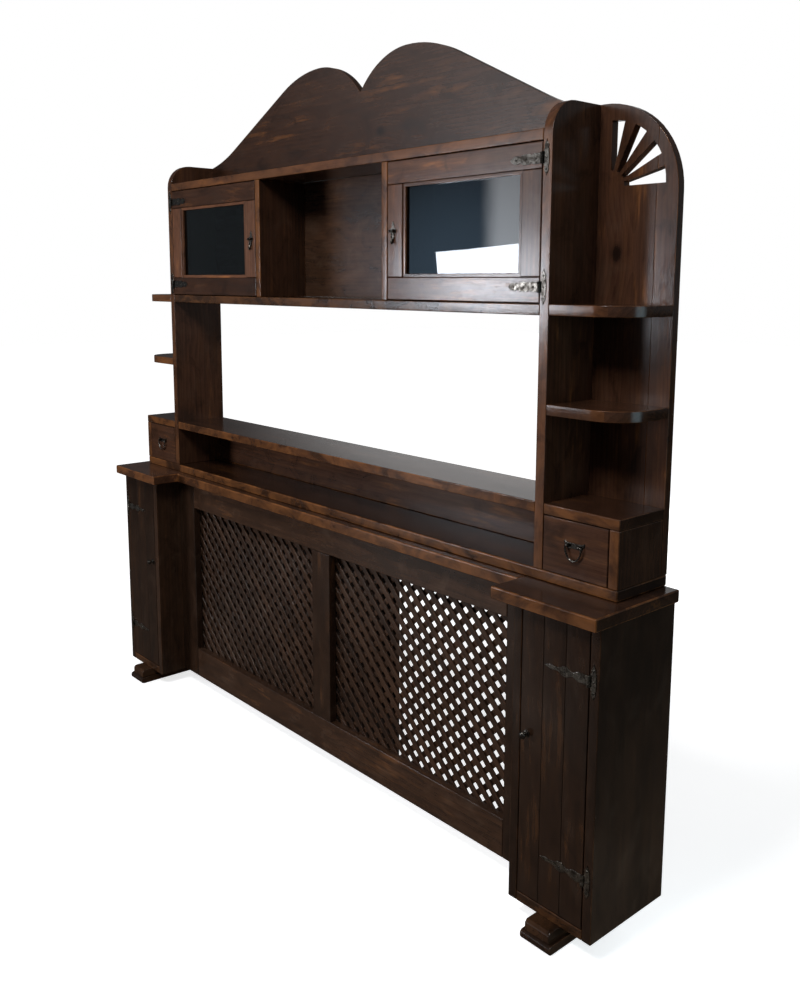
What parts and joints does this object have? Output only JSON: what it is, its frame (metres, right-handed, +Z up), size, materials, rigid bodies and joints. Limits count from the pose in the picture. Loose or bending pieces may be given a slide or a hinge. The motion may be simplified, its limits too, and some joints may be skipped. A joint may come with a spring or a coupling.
{
  "type": "wall unit",
  "caption": "Tall stained-pine wall unit: pedestal cupboards joined by a lattice front, under a shallow hutch with drawers, corner shelves, glazed doors and a humped crest.",
  "frame": {"origin": "on the floor, at the middle of the overall width and depth", "axes": "+X along the wall to the right as seen from the front, +Y to the wall behind, +Z up"},
  "size_m": [2.22, 0.318, 2.132],
  "materials": {
    "stained_pine": "dark satin stain, worn arrises",
    "lath_pine": "dark matt stain",
    "glass": "clear",
    "iron": "blackened"
  },
  "bodies": {
    "carcass": {"bay_back_board": "stained_pine", "cabinet_back": "stained_pine", "cabinet_bottom": "stained_pine", "cabinet_divider_left": "stained_pine", "cabinet_divider_right": "stained_pine", "cabinet_top": "stained_pine", "centre_top": "stained_pine", "corner_board_left": "stained_pine", "corner_board_right": "stained_pine", "corner_shelf_left_lower": "stained_pine", "corner_shelf_left_upper": "stained_pine", "corner_shelf_right_lower": "stained_pine", "corner_shelf_right_upper": "stained_pine", "crest": "stained_pine", "drawer_case_left_side": "stained_pine", "drawer_case_left_top": "stained_pine", "drawer_case_right_side": "stained_pine", "drawer_case_right_top": "stained_pine", "foot_left": "stained_pine", "foot_right": "stained_pine", "hinge_glazed_door_left_lower": "iron", "hinge_glazed_door_left_upper": "iron", "hinge_glazed_door_right_lower": "iron", "hinge_glazed_door_right_upper": "iron", "hinge_plank_door_left_lower": "iron", "hinge_plank_door_left_upper": "iron", "hinge_plank_door_right_lower": "iron", "hinge_plank_door_right_upper": "iron", "hutch_base_board": "stained_pine", "lattice_frame": "stained_pine", "lattice_left_back_laths": "lath_pine", "lattice_left_front_laths": "lath_pine", "lattice_right_back_laths": "lath_pine", "lattice_right_front_laths": "lath_pine", "pedestal_left_back": "stained_pine", "pedestal_left_bottom": "stained_pine", "pedestal_left_inner_side": "stained_pine", "pedestal_left_outer_side": "stained_pine", "pedestal_left_top": "stained_pine", "pedestal_right_back": "stained_pine", "pedestal_right_bottom": "stained_pine", "pedestal_right_inner_side": "stained_pine", "pedestal_right_outer_side": "stained_pine", "pedestal_right_top": "stained_pine", "raised_shelf": "stained_pine", "shelf_fascia": "stained_pine", "upright_left": "stained_pine", "upright_right": "stained_pine"},
    "pedestal_door_left": {"pedestal_left_door": "stained_pine"},
    "glazed_door_left": {"glazed_door_left": "stained_pine", "pane_left": "glass"},
    "drop_pull_left": {"drop_pull_left": "iron"},
    "drawer_left": {"drawer_left": "stained_pine"},
    "bail_left": {"drawer_left_bail": "iron"},
    "pedestal_door_right": {"pedestal_right_door": "stained_pine"},
    "glazed_door_right": {"glazed_door_right": "stained_pine", "pane_right": "glass"},
    "drop_pull_right": {"drop_pull_right": "iron"},
    "drawer_right": {"drawer_right": "stained_pine"},
    "bail_right": {"drawer_right_bail": "iron"}
  },
  "joints": [
    {"name": "pedestal_door_hinge_left", "type": "hinge", "parent": "carcass", "child": "pedestal_door_left", "pos_m": [-1.074, -0.1183, 0.4238], "axis": [0, 0, -1], "range_deg": [0, 110]},
    {"name": "glazed_door_hinge_left", "type": "hinge", "parent": "carcass", "child": "glazed_door_left", "pos_m": [-0.837, -0.0323, 1.6197], "axis": [0, 0, -1], "range_deg": [0, 110]},
    {"name": "drop_pull_pivot_left", "type": "hinge", "parent": "glazed_door_left", "child": "drop_pull_left", "pos_m": [-0.3375, -0.034, 1.6197], "axis": [-1, 0, 0], "range_deg": [0, 80]},
    {"name": "drawer_slide_left", "type": "slide", "parent": "carcass", "child": "drawer_left", "axis": [0, -1, 0], "range_m": [0, 0.11]},
    {"name": "bail_pivot_left", "type": "hinge", "parent": "drawer_left", "child": "bail_left", "pos_m": [-0.9565, -0.034, 0.90745], "axis": [-1, 0, 0], "range_deg": [0, 85]},
    {"name": "pedestal_door_hinge_right", "type": "hinge", "parent": "carcass", "child": "pedestal_door_right", "pos_m": [1.074, -0.1183, 0.4238], "axis": [0, 0, 1], "range_deg": [0, 110]},
    {"name": "glazed_door_hinge_right", "type": "hinge", "parent": "carcass", "child": "glazed_door_right", "pos_m": [0.837, -0.0323, 1.6197], "axis": [0, 0, 1], "range_deg": [0, 110]},
    {"name": "drop_pull_pivot_right", "type": "hinge", "parent": "glazed_door_right", "child": "drop_pull_right", "pos_m": [0.3375, -0.034, 1.6197], "axis": [-1, 0, 0], "range_deg": [0, 80]},
    {"name": "drawer_slide_right", "type": "slide", "parent": "carcass", "child": "drawer_right", "axis": [0, -1, 0], "range_m": [0, 0.11]},
    {"name": "bail_pivot_right", "type": "hinge", "parent": "drawer_right", "child": "bail_right", "pos_m": [0.9565, -0.034, 0.90745], "axis": [-1, 0, 0], "range_deg": [0, 85]}
  ]
}
